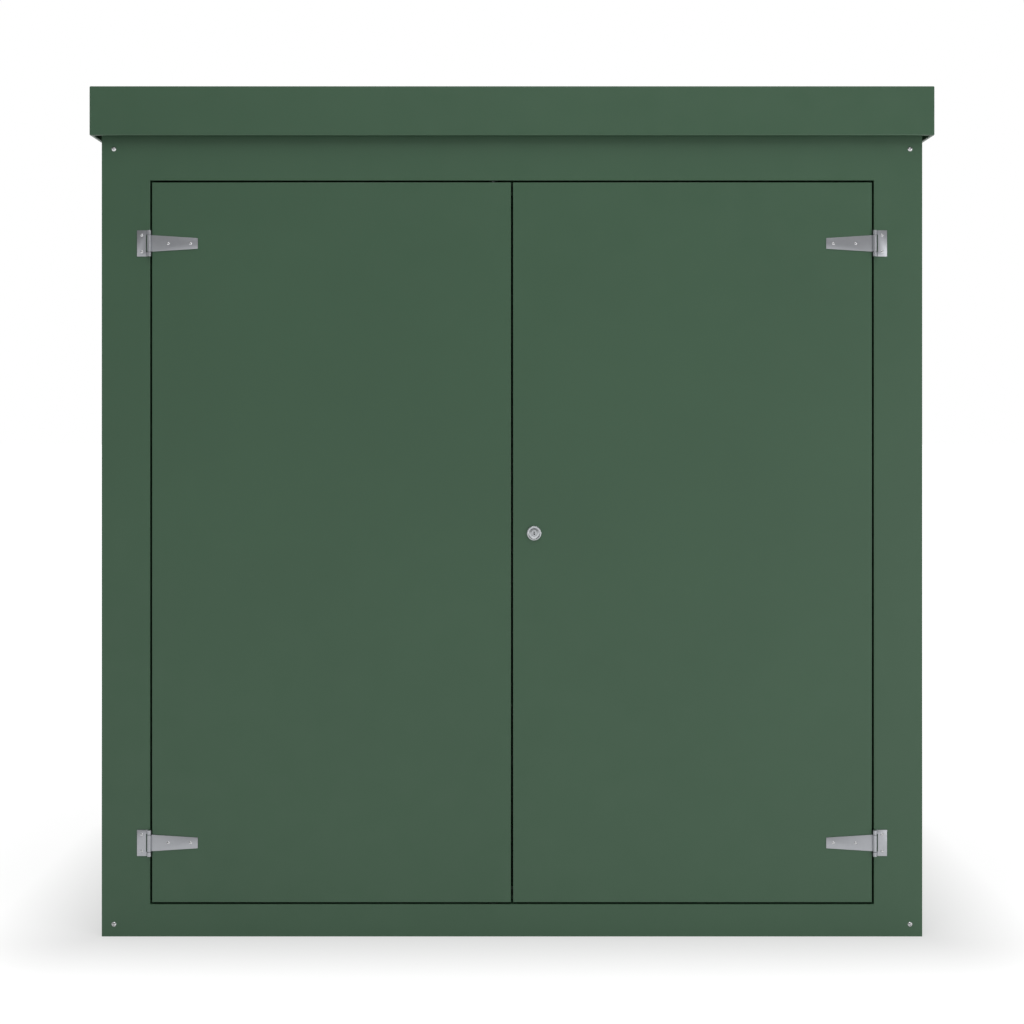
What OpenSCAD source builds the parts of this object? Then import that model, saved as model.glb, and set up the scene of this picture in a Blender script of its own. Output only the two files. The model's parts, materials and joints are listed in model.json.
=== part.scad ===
// Fibreglass walk-in enclosure: a box of sandwich panels on an open base, with a lid-like roof
// and a pair of doors on tee hinges. Millimetres. X runs along the front, Y from front to back,
// Z up. The origin is the middle of the body's footprint, on the ground.

/* [Body] */
// Outside width of the body
body_w = 2040; // [1500:10:3000]
// Outside depth of the body
body_d = 1040; // [700:10:2400]
// Height of the walls, from the ground to the roof deck
wall_h = 2050; // [1650:10:2600]
// Thickness of a wall panel: outer skin and foam core
panel_t = 45; // [30:1:80]
// Thickness of the inner skin, which lines the panels
lining_t = 5; // [3:0.5:10]

/* [Front frame] */
// Width of the frame beside the doorway
stile_w = 120; // [70:5:300]
// Height of the frame above the doorway, up to the roof deck
head_h = 170; // [140:5:300]
// Height of the frame below the doorway
sill_h = 80; // [40:5:200]
// Distance that the door stops reach past the edge of the doorway
stop_lap = 32; // [28:1:60]
// Thickness of the door stops, front to back
stop_t = 25; // [15:1:50]
// Width of the rubber seal on the stops
seal_w = 12; // [8:1:14]
// Thickness of the seal
seal_t = 4.5; // [3:0.5:8]
// Distance from the doorway's edge to the seal
seal_inset = 11; // [9:1:12]

/* [Roof] */
// Distance that the roof reaches past the walls on each side
roof_overhang = 25; // [16:1:80]
// Height of the roof's front face
roof_face_h = 122; // [115:1:200]
// Thickness of the roof moulding
roof_skin = 8; // [4:1:12]
// Thickness of the roof deck and its bond line at the front
deck_t = 52; // [45:1:80]
// Fall of the roof from front to back
roof_fall = 25; // [0:1:30]

/* [Doors] */
// Gap round the doors and between them
door_gap = 5; // [3:0.5:8]
// Thickness of a door leaf: outer skin and core
leaf_core_t = 40; // [36:1:60]
// Thickness of a leaf's inner skin
leaf_lining_t = 5; // [2:0.5:8]
// Bevel of the meeting edges, over the leaf's thickness, so that a leaf swings clear
leaf_bevel = 2; // [2:0.5:6]

/* [Hinges] */
// Height of the lower hinges above the bottom of the doorway
hinge_low = 153; // [90:1:400]
// Distance of the upper hinges below the top of the doorway
hinge_high = 157; // [90:1:400]
// Distance of the hinge axis outside the doorway's edge
axis_out = 1; // [0.5:0.5:3]
// Thickness of the hinge's plate and strap
sheet_t = 2; // [1.5:0.5:3]
// Diameter of the hinge knuckles
knuckle_d = 10.4; // [9:0.1:16]
// Diameter of the hinge pin
pin_d = 6; // [4:0.5:7]
// Height of the fixed plate
plate_h = 65; // [62:1:120]
// Reach of the fixed plate from the hinge axis
plate_reach = 31; // [28:1:60]
// Space between the strap's knuckle and the fixed plate
plate_notch = 3.3; // [1:0.1:5]
// Distance of the plate's screws from the hinge axis
plate_screw_x = 19; // [15:0.5:22]
// Half the distance between the plate's two screws
plate_screw_z = 20.5; // [12:0.5:24]
// Length of the strap from the hinge axis to its tip
strap_len = 120; // [100:1:400]
// Width of the strap at the knuckle
strap_root_w = 40; // [30:1:48]
// Width of the strap at its tip
strap_tip_w = 26.5; // [18:0.5:40]
// Distance of the strap's first screw from the axis
strap_screw_a = 46.5; // [25:0.5:55]
// Distance of the strap's last screw from its tip
strap_screw_b = 18; // [8:1:25]

/* [Screws] */
// Diameter of the round-head panel screws
panel_screw_d = 12; // [8:0.5:16]
// Height of a panel screw's head
panel_screw_h = 3.5; // [2:0.5:5]
// Width across the corners of a panel screw's hexagon socket
panel_socket_d = 4.6; // [3:0.1:6]
// Distance of the panel screws from the side, the ground and the roof's rim
panel_screw_in = 30; // [14:1:40]
// Diameter of the hinge screws' heads
hinge_screw_d = 7.6; // [5:0.1:10]
// Height of a hinge screw's head
hinge_screw_h = 2; // [1:0.1:3]
// Length of each arm of the cross recess, from tip to tip
cross_l = 4.2; // [3:0.1:5]
// Width of each arm of the cross recess
cross_w = 1.1; // [0.5:0.1:1.5]

/* [Lock] */
// Height of the lock above the bottom of the doorway
lock_h = 923; // [500:1:1200]
// Distance of the lock's centre from the leaf's meeting edge
lock_backset = 52.5; // [35:0.5:65]
// Diameter of the lock's rim
rim_d = 36; // [30:1:50]
// Height of the rim above the door face
rim_h = 5; // [3:0.5:10]
// Width of the raised ring round the rim
rim_ring = 4.4; // [2:0.1:6]
// Depth of the lock's face inside the ring
rim_recess = 1.2; // [0.5:0.1:2]
// Diameter of the threaded barrel through the leaf
barrel_d = 22; // [19:0.5:26]
// Length of barrel left past the nut
barrel_out = 4; // [1:0.5:8]
// Thickness of the nut
nut_t = 6; // [4:0.5:10]
// Width of the nut across its flats
nut_af = 30; // [28:1:36]
// Diameter of the plug that the key turns
plug_d = 16; // [12:0.5:17]
// Width of the key slot
key_w = 2.6; // [1.5:0.1:4]
// Height of the key slot
key_h = 9.5; // [6:0.5:11]
// Depth of the key slot
key_depth = 8; // [4:1:20]
// Reach of the cam from the plug's axis
cam_len = 75; // [65:1:90]
// Width of the cam
cam_w = 18; // [16:1:30]
// Thickness of the cam
cam_t = 3; // [2:0.5:5]
// Thickness of the keep on the left leaf, which the turned cam lies behind
keep_t = 7; // [4:1:10]
// Width of the keep
keep_w = 40; // [20:1:80]
// Height of the keep
keep_h = 60; // [30:1:100]
// Distance of the keep from the left leaf's meeting edge
keep_in = 5; // [5:1:15]

/* [Bolts of the left leaf] */
// Distance of the bolts from the leaf's meeting edge
bolt_in = 44; // [25:1:80]
// Diameter of the bolt rods
rod_d = 10; // [6:0.5:14]
// Height of a withdrawn rod's nose above the leaf's edge
rod_nose = 3; // [0:0.5:3]
// Length of rod inside the leaf's edge
rod_len = 30; // [20:1:60]
// Length of the bolts' inside plates
bolt_plate_h = 140; // [90:5:250]
// Width of the bolts' inside plates
bolt_plate_w = 24; // [20:1:40]
// Thickness of the bolts' inside plates
bolt_plate_t = 2; // [1:0.5:4]
// Distance from the leaf's edge to the inside plate
bolt_plate_in = 40; // [34:1:80]
// Diameter of the thumb knob
knob_d = 11; // [8:0.5:16]
// Height of the thumb knob with its neck
knob_l = 11; // [6:0.5:13]
// Diameter of the thumb knob's neck
knob_neck_d = 6.6; // [4:0.2:8]
// Thickness of the keep plates let into the frame
keep_plate_t = 2; // [1:0.5:4]
// Depth of the keep plates, front to back
keep_plate_d = 28; // [18:1:30]

/* [Base] */
// Leg of the fixing angles inside the walls
angle_leg = 60; // [56:1:100]
// Thickness of the fixing angles
angle_t = 6; // [4:0.5:12]
// Diameter of the anchor holes
anchor_d = 14; // [9:1:18]
// Distance of the anchor holes from the lining
anchor_in = 35; // [25:1:40]
// Distance of the anchor holes from the body's front and back
anchor_end = 170; // [150:5:300]

/* [Clearances] */
// Space left between the seal and a closed door
seal_clear = 0.5; // [0.2:0.1:2]
// Space between knuckles, and between a knuckle and the face behind it
knuckle_clear = 0.3; // [0.2:0.1:1]
// Radial space round the hinge pins
pin_clear = 0.05; // [0.02:0.01:0.1]
// Radial space round the lock's barrel and round the bolt rods in the leaf
bore_clear = 0.3; // [0.1:0.1:1]
// Radial space round the lock's plug and in its nut
plug_clear = 0.05; // [0.02:0.01:0.1]
// Radial space round a bolt rod in its keep
keep_clear = 1; // [0.5:0.1:2]
// Bond line between the roof deck and the moulding
bond_t = 0.5; // [0.2:0.1:0.9]

/* [Hidden] */
$fn = 64;

// Finishes
green = "#4a5f4f";
white = "#d8dad4";
steel = "#a5a7aa";
rubber = "#1c1d1e";
cut = 1; // how far a cutting solid runs past the face that it opens

// Door leaf and front frame, front to back
leaf_t = leaf_core_t + leaf_lining_t;
frame_t = leaf_t + seal_clear + seal_t;

// Outer faces of the body, and the planes behind them
side_x = body_w / 2;
front_y = -body_d / 2;
back_y = body_d / 2;
wall_in_x = side_x - panel_t;
room_x = wall_in_x - lining_t;
frame_back_y = front_y + frame_t;
stop_back_y = frame_back_y + stop_t;
panel_back_y = back_y - panel_t;
room_back_y = panel_back_y - lining_t;

// Doorway
way_x = side_x - stile_w;
way_z0 = sill_h;
way_z1 = wall_h - head_h;
stop_x = way_x - stop_lap;
stop_z0 = way_z0 + stop_lap;
stop_z1 = way_z1 - stop_lap;

// Roof: the height of its top at a place y along the fall
roof_x = side_x + roof_overhang;
roof_y = back_y + roof_overhang;
roof_top = wall_h + deck_t + roof_skin;
rim_z = roof_top - roof_face_h;
function roof_z(y) = roof_top - roof_fall * (y + roof_y) / (2 * roof_y);

// Door leaves
leaf_hinge_x = way_x - door_gap;
leaf_meet_x = door_gap / 2;
leaf_z0 = way_z0 + door_gap;
leaf_z1 = way_z1 - door_gap;
leaf_back_y = front_y + leaf_core_t;
leaf_in_y = front_y + leaf_t;

// Hinges
face_off = knuckle_d / 2 + knuckle_clear; // from the axis to the face that the plates lie on
axis_x = way_x + axis_out;
axis_y = front_y - face_off;
hinge_z = [way_z0 + hinge_low, way_z1 - hinge_high];
bore_r = pin_d / 2 + pin_clear;
strap_half = strap_root_w / 2 + 0.5; // half the length of the strap's knuckle
plate_inner = strap_half + knuckle_clear; // where the plate's own knuckles begin
strap_start = axis_out + knuckle_clear; // where the strap's sheet begins, clear of the frame
strap_screws_x = [strap_screw_a, strap_len - strap_screw_b];

// Lock
lock_x = leaf_meet_x + lock_backset;
lock_z = way_z0 + lock_h;
plug_face_y = front_y - rim_h + rim_recess / 2;
barrel_end_y = leaf_in_y + nut_t + barrel_out;
cam_y = barrel_end_y + 1; // the plug stands 1 mm out of the barrel

// Bolts
bolt_x = -(leaf_meet_x + bolt_in);
bolt_y = front_y + leaf_core_t / 2;

// Anchors
anchor_x = room_x - anchor_in;
anchor_y = body_d / 2 - anchor_end;

// ---- Shapes that are used again -------------------------------------------------------------

// A box from its lowest corner to its highest.
module slab(low, high) {
    translate(low) cube([high[0] - low[0], high[1] - low[1], high[2] - low[2]]);
}

// Draws a piece of the left side, where side is -1, or its mirror image on the right.
module sided(side) {
    mirror([side > 0 ? 1 : 0, 0, 0]) children();
}

// A round head whose flat side lies on z = 0.
module dome(d, h) {
    ball_r = (h * h + d * d / 4) / (2 * h);
    intersection() {
        translate([0, 0, h - ball_r]) sphere(r = ball_r);
        cylinder(d = d + 2 * cut, h = h + cut);
    }
}

// A cylinder along +Y, from y = 0.
module rod_y(d, h) {
    rotate([-90, 0, 0]) cylinder(d = d, h = h);
}

// A round head with a hexagon socket.
module panel_screw() {
    difference() {
        dome(panel_screw_d, panel_screw_h);
        translate([0, 0, panel_screw_h / 2])
            cylinder(d = panel_socket_d, h = panel_screw_h, $fn = 6);
    }
}

// A low round head with a cross recess.
module hinge_screw() {
    difference() {
        dome(hinge_screw_d, hinge_screw_h);
        for (turn = [45, 135])
            rotate([0, 0, turn])
                translate([-cross_l / 2, -cross_w / 2, hinge_screw_h / 2])
                    cube([cross_l, cross_w, hinge_screw_h]);
    }
}

// ---- Front frame ----------------------------------------------------------------------------

module stile(side) {
    color(green) sided(side) slab([-side_x, front_y, 0], [-way_x, frame_back_y, wall_h]);
}

// The recess for a bolt's keep plate and the hole for its rod, cut upwards from z = 0.
module keep_recess() {
    translate([-bolt_plate_w / 2, -keep_plate_d / 2, -cut])
        cube([bolt_plate_w, keep_plate_d, keep_plate_t + cut]);
    cylinder(d = rod_d + 2 * keep_clear, h = rod_len);
}

module front_head() {
    color(green)
    difference() {
        slab([-way_x, front_y, way_z1], [way_x, frame_back_y, wall_h]);
        translate([bolt_x, bolt_y, way_z1]) keep_recess();
    }
}

module front_sill() {
    color(green)
    difference() {
        slab([-way_x, front_y, 0], [way_x, frame_back_y, way_z0]);
        translate([bolt_x, bolt_y, way_z0]) mirror([0, 0, 1]) keep_recess();
    }
}

module door_stop(side) {
    color(green) sided(side)
        slab([-room_x, frame_back_y, 0], [-stop_x, stop_back_y, wall_h]);
}

module door_stop_top() {
    color(green) slab([-stop_x, frame_back_y, stop_z1], [stop_x, stop_back_y, wall_h]);
}

module door_stop_bottom() {
    color(green) slab([-stop_x, frame_back_y, 0], [stop_x, stop_back_y, stop_z0]);
}

// Four strips on the front of the stops, which the closed leaves lie against.
module door_seal() {
    y0 = leaf_in_y + seal_clear;
    x1 = way_x - seal_inset;
    x0 = x1 - seal_w;
    z0 = way_z0 + seal_inset;
    z1 = way_z1 - seal_inset;
    end_x = x0 - 1; // the cross strips stop short of the upright ones
    color(rubber) {
        for (side = [-1, 1])
            sided(side) slab([-x1, y0, z0], [-x0, frame_back_y, z1]);
        slab([-end_x, y0, z0], [end_x, frame_back_y, z0 + seal_w]);
        slab([-end_x, y0, z1 - seal_w], [end_x, frame_back_y, z1]);
    }
}

// ---- Walls ----------------------------------------------------------------------------------

module side_wall(side) {
    color(green) sided(side)
        slab([-side_x, frame_back_y, 0], [-wall_in_x, panel_back_y, wall_h]);
}

module back_wall() {
    color(green) slab([-side_x, panel_back_y, 0], [side_x, back_y, wall_h]);
}

module side_lining(side) {
    color(white) sided(side)
        slab([-wall_in_x, frame_back_y, 0], [-room_x, room_back_y, wall_h]);
}

module back_lining() {
    color(white) slab([-wall_in_x, room_back_y, 0], [wall_in_x, panel_back_y, wall_h]);
}

// ---- Roof -----------------------------------------------------------------------------------

// A solid from the height bottom up to a drop below the roof's top, all along the fall.
module under_fall(half_w, half_d, bottom, drop) {
    translate([half_w, 0, 0]) rotate([90, 0, -90])
        linear_extrude(height = 2 * half_w)
            polygon([
                [-half_d, bottom], [half_d, bottom],
                [half_d, roof_z(-half_d) - drop], [-half_d, roof_z(half_d) - drop]
            ]);
}

// The lid-like moulding: a falling top with a rim turned down on all four sides.
module roof_cap() {
    inner = roof_overhang - roof_skin;
    color(green)
    difference() {
        under_fall(roof_x, roof_y, rim_z, 0);
        under_fall(side_x + inner, back_y + inner, rim_z - cut, roof_skin);
    }
}

// The stiff core under the moulding, which sits on top of the walls.
module roof_deck() {
    color(white) under_fall(side_x, back_y, wall_h, roof_skin + bond_t);
}

module ceiling_lining() {
    color(white)
        slab([-room_x, stop_back_y, wall_h - lining_t], [room_x, room_back_y, wall_h]);
}

// ---- Base -----------------------------------------------------------------------------------

// An angle along +Y, with its corner on the y axis and its flat leg towards +X.
module angle_bar(length) {
    cube([angle_leg, length, angle_t]);
    cube([angle_t, length, angle_leg]);
}

module base_angle_side(side) {
    color(white) sided(side)
    difference() {
        translate([-room_x, stop_back_y, 0]) angle_bar(room_back_y - stop_back_y);
        for (y = [-anchor_y, anchor_y])
            translate([-anchor_x, y, -cut]) cylinder(d = anchor_d, h = angle_t + 2 * cut);
    }
}

// The front angle, where end is -1, or the back one.
module base_angle_cross(end) {
    length = 2 * (room_x - angle_leg);
    wall_y = end < 0 ? stop_back_y : room_back_y;
    color(white)
        translate([-end * length / 2, wall_y, 0]) rotate([0, 0, -end * 90]) angle_bar(length);
}

// ---- Fixings --------------------------------------------------------------------------------

module panel_screws() {
    x = side_x - panel_screw_in;
    color(steel)
    for (z = [panel_screw_in, rim_z - panel_screw_in], side = [-1, 1]) {
        translate([side * x, front_y, z]) rotate([90, 0, 0]) panel_screw();
        translate([side * x, back_y, z]) rotate([-90, 0, 0]) panel_screw();
    }
}

// A steel plate with a hole for the bolt's rod, drawn upwards from z = 0.
module bolt_keep() {
    difference() {
        translate([-bolt_plate_w / 2, -keep_plate_d / 2, 0])
            cube([bolt_plate_w, keep_plate_d, keep_plate_t]);
        translate([0, 0, -cut])
            cylinder(d = rod_d + 2 * keep_clear, h = keep_plate_t + 2 * cut);
    }
}

module bolt_keeps() {
    color(steel) {
        translate([bolt_x, bolt_y, way_z1]) bolt_keep();
        translate([bolt_x, bolt_y, way_z0]) mirror([0, 0, 1]) bolt_keep();
    }
}

// ---- Tee hinges: the axis on z, the fixed plate towards -X, the face behind it at +Y ---------

module knuckle(z0, z1) {
    translate([0, 0, z0]) cylinder(d = knuckle_d, h = z1 - z0);
}

module pin_bore() {
    translate([0, 0, -plate_h]) cylinder(r = bore_r, h = 2 * plate_h);
}

module hinge_plate() {
    notch_x = knuckle_d / 2 + plate_notch;
    difference() {
        union() {
            slab([-plate_reach, face_off - sheet_t, -plate_h / 2], [0, face_off, plate_h / 2]);
            knuckle(plate_inner, plate_h / 2);
            knuckle(-plate_h / 2, -plate_inner);
        }
        slab([-notch_x, -knuckle_d, -plate_inner], [knuckle_d, knuckle_d, plate_inner]);
        pin_bore();
    }
}

module hinge_strap() {
    difference() {
        union() {
            knuckle(-strap_half, strap_half);
            translate([0, face_off, 0]) rotate([90, 0, 0])
                linear_extrude(height = sheet_t)
                    polygon([
                        [strap_start, -strap_root_w / 2], [strap_len, -strap_tip_w / 2],
                        [strap_len, strap_tip_w / 2], [strap_start, strap_root_w / 2]
                    ]);
        }
        pin_bore();
    }
}

// Places a hinge part on the left or right of the doorway, at the height z.
module at_hinge(side, z) {
    translate([side * axis_x, axis_y, z]) sided(side) children();
}

module hinge_plates() {
    color(steel)
    for (side = [-1, 1], z = hinge_z)
        at_hinge(side, z) hinge_plate();
}

module hinge_pins() {
    color(steel)
    for (side = [-1, 1], z = hinge_z)
        at_hinge(side, z - plate_h / 2) cylinder(d = pin_d, h = plate_h);
}

module hinge_plate_screws() {
    color(steel)
    for (side = [-1, 1], z = hinge_z, up = [-1, 1])
        at_hinge(side, z + up * plate_screw_z)
            translate([-plate_screw_x, face_off - sheet_t, 0]) rotate([90, 0, 0]) hinge_screw();
}

module hinge_straps(side) {
    color(steel)
    for (z = hinge_z)
        at_hinge(side, z) hinge_strap();
}

module strap_screws(side) {
    color(steel)
    for (z = hinge_z, x = strap_screws_x)
        at_hinge(side, z)
            translate([x, face_off - sheet_t, 0]) rotate([90, 0, 0]) hinge_screw();
}

// ---- Doors ----------------------------------------------------------------------------------

// Where the bevelled meeting edge lies at a depth y.
function meet_x(y) = leaf_meet_x + leaf_bevel * (y - front_y) / leaf_t;

// One layer of a leaf, from y0 to y1.
module leaf(side, y0, y1) {
    sided(side) translate([0, 0, leaf_z0])
        linear_extrude(height = leaf_z1 - leaf_z0)
            polygon([
                [-leaf_hinge_x, y0], [-meet_x(y0), y0], [-meet_x(y1), y1], [-leaf_hinge_x, y1]
            ]);
}

// The bore that a bolt's rod lies in, running down from z = 0.
module rod_bore() {
    translate([0, 0, -rod_len]) cylinder(d = rod_d + 2 * bore_clear, h = rod_len + cut);
}

module left_door() {
    color(green)
    difference() {
        leaf(-1, front_y, leaf_back_y);
        translate([bolt_x, bolt_y, leaf_z1]) rod_bore();
        translate([bolt_x, bolt_y, leaf_z0]) mirror([0, 0, 1]) rod_bore();
    }
}

module left_door_lining() {
    color(white) leaf(-1, leaf_back_y, leaf_in_y);
}

// The hole that the lock's barrel passes through.
module barrel_hole() {
    translate([lock_x, front_y - cut, lock_z])
        rod_y(barrel_d + 2 * bore_clear, leaf_t + 2 * cut);
}

module right_door() {
    color(green)
    difference() {
        leaf(1, front_y, leaf_back_y);
        barrel_hole();
    }
}

module right_door_lining() {
    color(white)
    difference() {
        leaf(1, leaf_back_y, leaf_in_y);
        barrel_hole();
    }
}

// A plate with a thumb knob on the inner skin, and the end of its rod in the leaf's edge, which
// is at z = 0. The rod stands on the end of its bore.
module flush_bolt() {
    plate_top = -bolt_plate_in;
    neck_l = knob_l / 2;
    translate([-bolt_plate_w / 2, leaf_in_y, plate_top - bolt_plate_h])
        cube([bolt_plate_w, bolt_plate_t, bolt_plate_h]);
    translate([0, leaf_in_y + bolt_plate_t, plate_top - bolt_plate_h / 2]) {
        rod_y(knob_neck_d, neck_l);
        translate([0, neck_l, 0]) rod_y(knob_d, knob_l - neck_l);
    }
    translate([0, bolt_y, -rod_len]) cylinder(d = rod_d, h = rod_len + rod_nose);
}

module flush_bolts() {
    color(steel) {
        translate([bolt_x, 0, leaf_z1]) flush_bolt();
        translate([bolt_x, 0, leaf_z0]) mirror([0, 0, 1]) flush_bolt();
    }
}

// The raised plate on the left leaf that holds the turned cam.
module lock_keep() {
    x1 = -leaf_meet_x - keep_in;
    color(steel)
        translate([x1 - keep_w, leaf_in_y, lock_z - keep_h / 2])
            cube([keep_w, keep_t, keep_h]);
}

// ---- Lock -----------------------------------------------------------------------------------

module lock_case() {
    color(steel)
    translate([lock_x, 0, lock_z])
    difference() {
        union() {
            translate([0, front_y - rim_h, 0]) rod_y(rim_d, rim_h);
            translate([0, front_y, 0]) rod_y(barrel_d, barrel_end_y - front_y);
        }
        translate([0, front_y - rim_h - cut, 0]) {
            rod_y(rim_d - 2 * rim_ring, rim_recess + cut);
            rod_y(plug_d + 2 * plug_clear, barrel_end_y - front_y + rim_h + 2 * cut);
        }
    }
}

module lock_nut() {
    color(steel)
    translate([lock_x, leaf_in_y, lock_z])
    difference() {
        rotate([-90, 0, 0]) cylinder(r = nut_af / sqrt(3), h = nut_t, $fn = 6);
        translate([0, -cut, 0]) rod_y(barrel_d + 2 * plug_clear, nut_t + 2 * cut);
    }
}

module lock_plug() {
    color(steel)
    translate([lock_x, plug_face_y, lock_z])
    difference() {
        rod_y(plug_d, cam_y - plug_face_y);
        translate([-key_w / 2, -cut, -key_h / 2]) cube([key_w, key_depth + cut, key_h]);
    }
}

// The flat cam behind the leaf, and its screw. It hangs straight down when the lock is open.
module lock_cam() {
    color(steel)
    translate([lock_x, cam_y, lock_z]) {
        rod_y(cam_w, cam_t);
        translate([-cam_w / 2, 0, -cam_len]) cube([cam_w, cam_t, cam_len]);
        translate([0, cam_t, 0]) rotate([-90, 0, 0]) panel_screw();
    }
}

stile(-1);  // front_stile_left
stile(1);  // front_stile_right
front_head();
front_sill();
door_stop(-1);  // door_stop_left
door_stop(1);  // door_stop_right
door_stop_top();
door_stop_bottom();
door_seal();
side_wall(-1);  // left_wall
side_wall(1);  // right_wall
back_wall();
side_lining(-1);  // left_wall_lining
side_lining(1);  // right_wall_lining
back_lining();  // back_wall_lining
roof_cap();
roof_deck();
ceiling_lining();
base_angle_side(-1);  // base_angle_left
base_angle_side(1);  // base_angle_right
base_angle_cross(-1);  // base_angle_front
base_angle_cross(1);  // base_angle_back
panel_screws();
bolt_keeps();
hinge_plates();
hinge_pins();
hinge_plate_screws();
left_door();
left_door_lining();
hinge_straps(-1);  // left_hinge_straps
strap_screws(-1);  // left_strap_screws
flush_bolts();
lock_keep();
right_door();
right_door_lining();
hinge_straps(1);  // right_hinge_straps
strap_screws(1);  // right_strap_screws
lock_case();
lock_nut();
lock_plug();
lock_cam();
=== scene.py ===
"""Fibreglass walk-in enclosure: the finish of every surface, made around its fixed CAD frame.

Metres. X runs along the front, Y from front to back, Z up.
"""
import json
import math

import bmesh
import bpy
from mathutils import Matrix, Vector


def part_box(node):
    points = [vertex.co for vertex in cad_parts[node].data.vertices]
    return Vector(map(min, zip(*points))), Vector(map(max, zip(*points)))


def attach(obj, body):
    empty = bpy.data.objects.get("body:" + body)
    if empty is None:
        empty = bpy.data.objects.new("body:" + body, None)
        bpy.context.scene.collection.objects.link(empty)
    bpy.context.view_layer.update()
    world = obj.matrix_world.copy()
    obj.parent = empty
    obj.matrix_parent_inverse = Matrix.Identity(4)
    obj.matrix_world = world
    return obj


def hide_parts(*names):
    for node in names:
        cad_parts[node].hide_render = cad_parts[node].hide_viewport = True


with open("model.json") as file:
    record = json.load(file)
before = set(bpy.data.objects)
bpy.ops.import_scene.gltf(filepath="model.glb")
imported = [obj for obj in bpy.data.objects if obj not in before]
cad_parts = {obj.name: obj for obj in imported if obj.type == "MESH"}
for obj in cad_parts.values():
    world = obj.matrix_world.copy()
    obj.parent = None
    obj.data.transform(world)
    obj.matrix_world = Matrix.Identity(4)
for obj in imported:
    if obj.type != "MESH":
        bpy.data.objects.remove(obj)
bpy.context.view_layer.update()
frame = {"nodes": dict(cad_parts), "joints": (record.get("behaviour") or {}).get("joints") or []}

MM = 0.001
LEFT, RIGHT = -1, 1
# The seed of the random turns of the screw heads
SEED = 7


# ---- Nodes and materials --------------------------------------------------------------------

def linear(hex_colour):
    """An sRGB hex colour as linear RGBA."""
    channels = [int(hex_colour[i:i + 2], 16) / 255 for i in (1, 3, 5)]
    return [c / 12.92 if c <= 0.04045 else ((c + 0.055) / 1.055) ** 2.4 for c in channels] + [1.0]


def add(tree, kind, inputs=None, **settings):
    """Adds a node, sets its properties, then fills or links its inputs."""
    node = tree.nodes.new(kind)
    for key, value in settings.items():
        setattr(node, key, value)
    for key, value in (inputs or {}).items():
        if isinstance(value, bpy.types.NodeSocket):
            tree.links.new(value, node.inputs[key])
        else:
            node.inputs[key].default_value = value
    return node


def per_metre(size_mm):
    """The texture scale at which a pattern's features are size_mm across."""
    return 1000 / size_mm


def surface(name, metallic=0.0, ior=1.5):
    """A new material with one Principled shader. Returns the material, its node tree, the shader
    and the coordinates that its patterns lie on."""
    material = bpy.data.materials.new(name)
    material.use_nodes = True
    tree = material.node_tree
    shader = tree.nodes["Principled BSDF"]
    shader.inputs["Metallic"].default_value = metallic
    shader.inputs["IOR"].default_value = ior
    place = add(tree, "ShaderNodeTexCoord").outputs["Object"]
    return material, tree, shader, place


def mottle(tree, shader, place, size_mm, colours, detail, roughness):
    """Colours a surface with soft patches of two tones, size_mm across."""
    patches = add(tree, "ShaderNodeTexNoise", {
        "Vector": place, "Scale": per_metre(size_mm), "Detail": detail, "Roughness": roughness})
    tint = add(tree, "ShaderNodeMix", {
        0: patches.outputs[0], 6: linear(colours[0]), 7: linear(colours[1])}, data_type="RGBA")
    tree.links.new(tint.outputs[2], shader.inputs["Base Color"])


def gelcoat(name, pale, deep, roughness):
    """Pigmented gelcoat, sprayed on a waxed mould: an even satin skin with faint clouds of
    pigment, the orange peel of the spray and a slow waviness where the laminate has shrunk."""
    material, tree, shader, place = surface(name)
    mottle(tree, shader, place, 420, (deep, pale), 4.0, 0.6)
    wiped = add(tree, "ShaderNodeTexNoise", {
        "Vector": place, "Scale": per_metre(60), "Detail": 5.0, "Roughness": 0.65})
    gloss = add(tree, "ShaderNodeMapRange", {
        "Value": wiped.outputs[0], "From Min": 0.3, "From Max": 0.7,
        "To Min": roughness - 0.04, "To Max": roughness + 0.05})
    tree.links.new(gloss.outputs[0], shader.inputs["Roughness"])
    # Orange peel is 2 to 3 mm across in the real skin, and is drawn at 5 mm so that it shows.
    peel = add(tree, "ShaderNodeTexNoise", {
        "Vector": place, "Scale": per_metre(5), "Detail": 2.0, "Roughness": 0.5})
    peel_bump = add(tree, "ShaderNodeBump", {
        "Strength": 0.35, "Distance": 0.03 * MM, "Height": peel.outputs[0]})
    waves = add(tree, "ShaderNodeTexNoise", {
        "Vector": place, "Scale": per_metre(260), "Detail": 1.0})
    wave_bump = add(tree, "ShaderNodeBump", {
        "Strength": 0.5, "Distance": 0.5 * MM, "Height": waves.outputs[0],
        "Normal": peel_bump.outputs[0]})
    tree.links.new(wave_bump.outputs[0], shader.inputs["Normal"])
    return material


def flowcoat(name, pale, deep):
    """Flowcoat brushed over chopped-strand mat: an uneven pale skin in which the strands of
    glass, 25 to 50 mm long, stand up in every direction."""
    material, tree, shader, place = surface(name)
    mottle(tree, shader, place, 180, (deep, pale), 5.0, 0.6)
    shader.inputs["Roughness"].default_value = 0.55
    # A strand is about 1 mm wide in the real mat, and is drawn at 3 mm so that it shows.
    normal = None
    for turn in (0.3, 1.35, 2.4):
        strands_place = add(tree, "ShaderNodeMapping", {
            "Vector": place, "Rotation": (turn, turn, turn),
            "Scale": (per_metre(3), per_metre(38), per_metre(3))})
        strands = add(tree, "ShaderNodeTexNoise", {
            "Vector": strands_place.outputs[0], "Scale": 1.0, "Detail": 1.0})
        bump = add(tree, "ShaderNodeBump", {
            "Strength": 0.45, "Distance": 0.25 * MM, "Height": strands.outputs[0]})
        if normal:
            tree.links.new(normal, bump.inputs["Normal"])
        normal = bump.outputs[0]
    tree.links.new(normal, shader.inputs["Normal"])
    return material


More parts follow.
